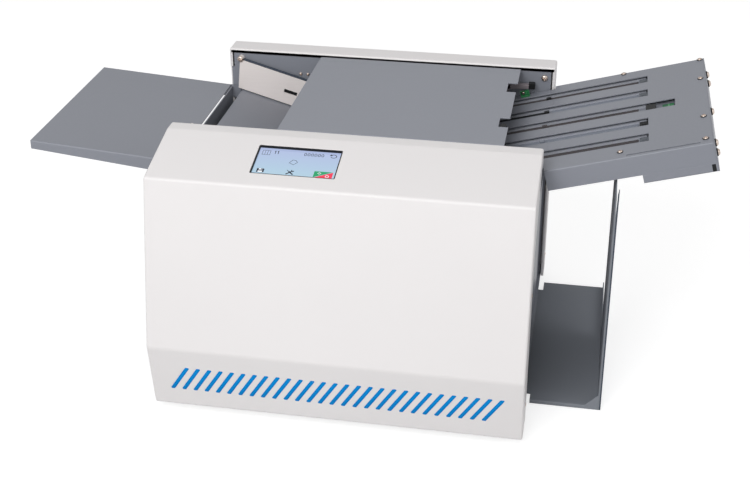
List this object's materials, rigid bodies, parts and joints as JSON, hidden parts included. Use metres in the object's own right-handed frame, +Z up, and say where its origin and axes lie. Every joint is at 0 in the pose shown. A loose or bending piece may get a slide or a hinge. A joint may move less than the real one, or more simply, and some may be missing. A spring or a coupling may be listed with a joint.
{
  "type": "desktop pressure sealer",
  "caption": "Desktop pressure sealer: sloping feed table, roller drive in a leaning white cover with slotted vent and touch screen, raised fold plate and catch tray.",
  "frame": {"origin": "middle of the outline on the desk, under the rubber feet", "axes": "+X along the paper path from the feed table to the catch tray, +Y to the rear cover, +Z up"},
  "size_m": [0.8358, 0.435, 0.3557],
  "materials": {
    "cover_white": "satin powder coat",
    "panel_grey": "satin powder coat",
    "lid_grey": "satin powder coat",
    "vent_blue": "moulded",
    "stainless": "brushed",
    "plain_steel": "turned",
    "zinc_steel": "zinc plated",
    "spring_steel": "oiled",
    "roller_rubber": "ground",
    "foot_rubber": "moulded",
    "belt_rubber": "moulded",
    "bronze": "sintered",
    "black_plastic": "moulded",
    "dark_plastic": "moulded",
    "friction_cork": "cork",
    "motor_black": "painted",
    "display_glass": "lit",
    "board_green": "solder mask",
    "supply_case": "plain sheet"
  },
  "bodies": {
    "housing": {"base_plate": "panel_grey", "front_frame": "panel_grey", "rear_frame": "panel_grey", "front_cover": "cover_white", "vent_strip": "vent_blue", "rear_cover": "cover_white", "tie_rods": "plain_steel", "left_panel": "panel_grey", "right_panel": "panel_grey", "feed_table": "panel_grey", "rear_guide": "stainless", "infeed_chute": "stainless", "gear_studs": "plain_steel", "exit_chute": "stainless", "shaft_bushes": "bronze", "pressure_blocks": "plain_steel", "disc_springs": "spring_steel", "pressure_bridges": "zinc_steel", "main_motor": "motor_black", "motor_bracket": "zinc_steel", "drive_belt": "belt_rubber", "feed_belt": "belt_rubber", "power_supply": "supply_case", "main_board": "board_green", "power_inlet": "black_plastic", "switch_housing": "black_plastic", "screen_bezel": "black_plastic", "screen_glass": "display_glass", "screen_board": "board_green", "fold_plate_top": "panel_grey", "fold_plate_base": "panel_grey", "fold_end_box": "panel_grey", "fold_motor": "motor_black", "fold_sensor": "board_green", "lid_catch": "black_plastic", "lower_plate": "panel_grey", "machine_screws": "zinc_steel", "rubber_feet": "foot_rubber"},
    "lid": {"top_cover": "lid_grey"},
    "tray": {"catch_tray": "panel_grey"},
    "paper_guide": {"front_guide": "stainless"},
    "lift_floor": {"lift_plate": "panel_grey"},
    "separator": {"separator_arm": "dark_plastic", "separator_pad": "friction_cork"},
    "feed_roller": {"feed_roller": "roller_rubber"},
    "fold_roller_1": {"fold_roller_1": "roller_rubber"},
    "fold_roller_2": {"fold_roller_2": "roller_rubber"},
    "fold_roller_3": {"fold_roller_3": "roller_rubber"},
    "fold_roller_4": {"fold_roller_4": "roller_rubber"},
    "seal_roller_1": {"seal_roller_1": "plain_steel"},
    "seal_roller_2": {"seal_roller_2": "plain_steel"},
    "seal_roller_3": {"seal_roller_3": "plain_steel"},
    "seal_roller_4": {"seal_roller_4": "plain_steel"},
    "idler_gear_1": {"idler_gear_1": "dark_plastic"},
    "idler_gear_2": {"idler_gear_2": "dark_plastic"},
    "motor_pulley": {"motor_pulley": "plain_steel"},
    "fold_screw": {"fold_screw": "plain_steel"},
    "fold_stop": {"fold_stop": "black_plastic"},
    "rocker": {"switch_rocker": "black_plastic"},
    "latch": {"plate_latch": "stainless"},
    "lower_stop": {"lower_stop": "black_plastic"}
  },
  "joints": [
    {"name": "lid_hinge", "type": "hinge", "parent": "housing", "child": "lid", "pos_m": [-0.0914, 0.0575, 0.312], "axis": [0, -1, 0], "range_deg": [0, 100]},
    {"name": "tray_slide", "type": "slide", "parent": "housing", "child": "tray", "axis": [1, 0, 0], "range_m": [0, 0.05]},
    {"name": "guide_slide", "type": "slide", "parent": "housing", "child": "paper_guide", "axis": [0, 1, 0], "range_m": [-0.012, 0.024]},
    {"name": "lift_hinge", "type": "hinge", "parent": "housing", "child": "lift_floor", "pos_m": [-0.2114, 0.0575, 0.26476], "axis": [0, 1, 0], "range_deg": [0, 8], "stiffness_Nm_per_rad": 2, "springref_deg": -14.32},
    {"name": "separator_hinge", "type": "hinge", "parent": "housing", "child": "separator", "pos_m": [-0.06172, 0.0575, 0.22176], "axis": [0, 1, 0], "range_deg": [-10, 0], "stiffness_Nm_per_rad": 0.5, "springref_deg": 17.19},
    {"name": "seal_roller_2_spin", "type": "hinge", "parent": "housing", "child": "seal_roller_2", "pos_m": [0.11296, 0.0575, 0.18075], "axis": [0, 1, 0], "continuous": true},
    {"name": "seal_roller_1_spin", "type": "hinge", "parent": "housing", "child": "seal_roller_1", "pos_m": [0.12074, 0.0575, 0.22487], "axis": [0, 1, 0], "continuous": true},
    {"name": "seal_roller_3_spin", "type": "hinge", "parent": "housing", "child": "seal_roller_3", "pos_m": [0.17077, 0.0575, 0.21605], "axis": [0, 1, 0], "continuous": true},
    {"name": "seal_roller_4_spin", "type": "hinge", "parent": "housing", "child": "seal_roller_4", "pos_m": [0.16299, 0.0575, 0.17193], "axis": [0, 1, 0], "continuous": true},
    {"name": "fold_roller_1_spin", "type": "hinge", "parent": "housing", "child": "fold_roller_1", "pos_m": [0.02771, 0.0575, 0.26185], "axis": [0, 1, 0], "continuous": true},
    {"name": "fold_roller_2_spin", "type": "hinge", "parent": "housing", "child": "fold_roller_2", "pos_m": [0.03578, 0.0575, 0.23254], "axis": [0, 1, 0], "continuous": true},
    {"name": "fold_roller_3_spin", "type": "hinge", "parent": "housing", "child": "fold_roller_3", "pos_m": [0.06572, 0.0575, 0.22726], "axis": [0, 1, 0], "continuous": true},
    {"name": "fold_roller_4_spin", "type": "hinge", "parent": "housing", "child": "fold_roller_4", "pos_m": [0.06044, 0.0575, 0.19732], "axis": [0, 1, 0], "continuous": true},
    {"name": "idler_gear_1_spin", "type": "hinge", "parent": "housing", "child": "idler_gear_1", "pos_m": [0.08109, 0.0575, 0.18358], "axis": [0, 1, 0], "continuous": true},
    {"name": "idler_gear_2_spin", "type": "hinge", "parent": "housing", "child": "idler_gear_2", "pos_m": [0.1346, 0.0575, 0.15717], "axis": [0, 1, 0], "continuous": true},
    {"name": "feed_roller_spin", "type": "hinge", "parent": "housing", "child": "feed_roller", "pos_m": [-0.08572, 0.0575, 0.25716], "axis": [0, 1, 0], "continuous": true},
    {"name": "motor_spin", "type": "hinge", "parent": "housing", "child": "motor_pulley", "pos_m": [0.0036, 0.0575, 0.095], "axis": [0, 1, 0], "continuous": true},
    {"name": "fold_stop_slide", "type": "slide", "parent": "housing", "child": "fold_stop", "axis": [0.9641, 0, 0.2656], "range_m": [-0.076, 0.11]},
    {"name": "fold_screw_spin", "type": "hinge", "parent": "housing", "child": "fold_screw", "pos_m": [0.2432, 0.063, 0.29066], "axis": [0.9641, 0, 0.2656], "continuous": true},
    {"name": "lower_stop_slide", "type": "slide", "parent": "housing", "child": "lower_stop", "axis": [-0.4226, 0, -0.9063], "range_m": [-0.035, 0.035]},
    {"name": "rocker_hinge", "type": "hinge", "parent": "housing", "child": "rocker", "pos_m": [-0.2214, -0.1155, 0.08], "axis": [0, 0, 1], "range_deg": [-8, 8]},
    {"name": "latch_hinge", "type": "hinge", "parent": "housing", "child": "latch", "pos_m": [0.14861, 0.1745, 0.29696], "axis": [0, -1, 0], "range_deg": [0, 15]}
  ],
  "couplings": [
    {"joint": "seal_roller_1_spin", "follows": "seal_roller_2_spin", "ratio": -1},
    {"joint": "seal_roller_3_spin", "follows": "seal_roller_2_spin", "ratio": -1},
    {"joint": "seal_roller_4_spin", "follows": "seal_roller_2_spin", "ratio": 1},
    {"joint": "fold_roller_1_spin", "follows": "seal_roller_2_spin", "ratio": -1.4737},
    {"joint": "fold_roller_2_spin", "follows": "seal_roller_2_spin", "ratio": 1.4737},
    {"joint": "fold_roller_3_spin", "follows": "seal_roller_2_spin", "ratio": -1.4737},
    {"joint": "fold_roller_4_spin", "follows": "seal_roller_2_spin", "ratio": 1.4737},
    {"joint": "idler_gear_1_spin", "follows": "seal_roller_2_spin", "ratio": -2.3333},
    {"joint": "idler_gear_2_spin", "follows": "seal_roller_2_spin", "ratio": -2.3333},
    {"joint": "feed_roller_spin", "follows": "seal_roller_2_spin", "ratio": -1.0132},
    {"joint": "motor_spin", "follows": "seal_roller_2_spin", "ratio": 2.5},
    {"joint": "fold_screw_spin", "follows": "fold_stop_slide", "rad_per_m": 314.16}
  ]
}
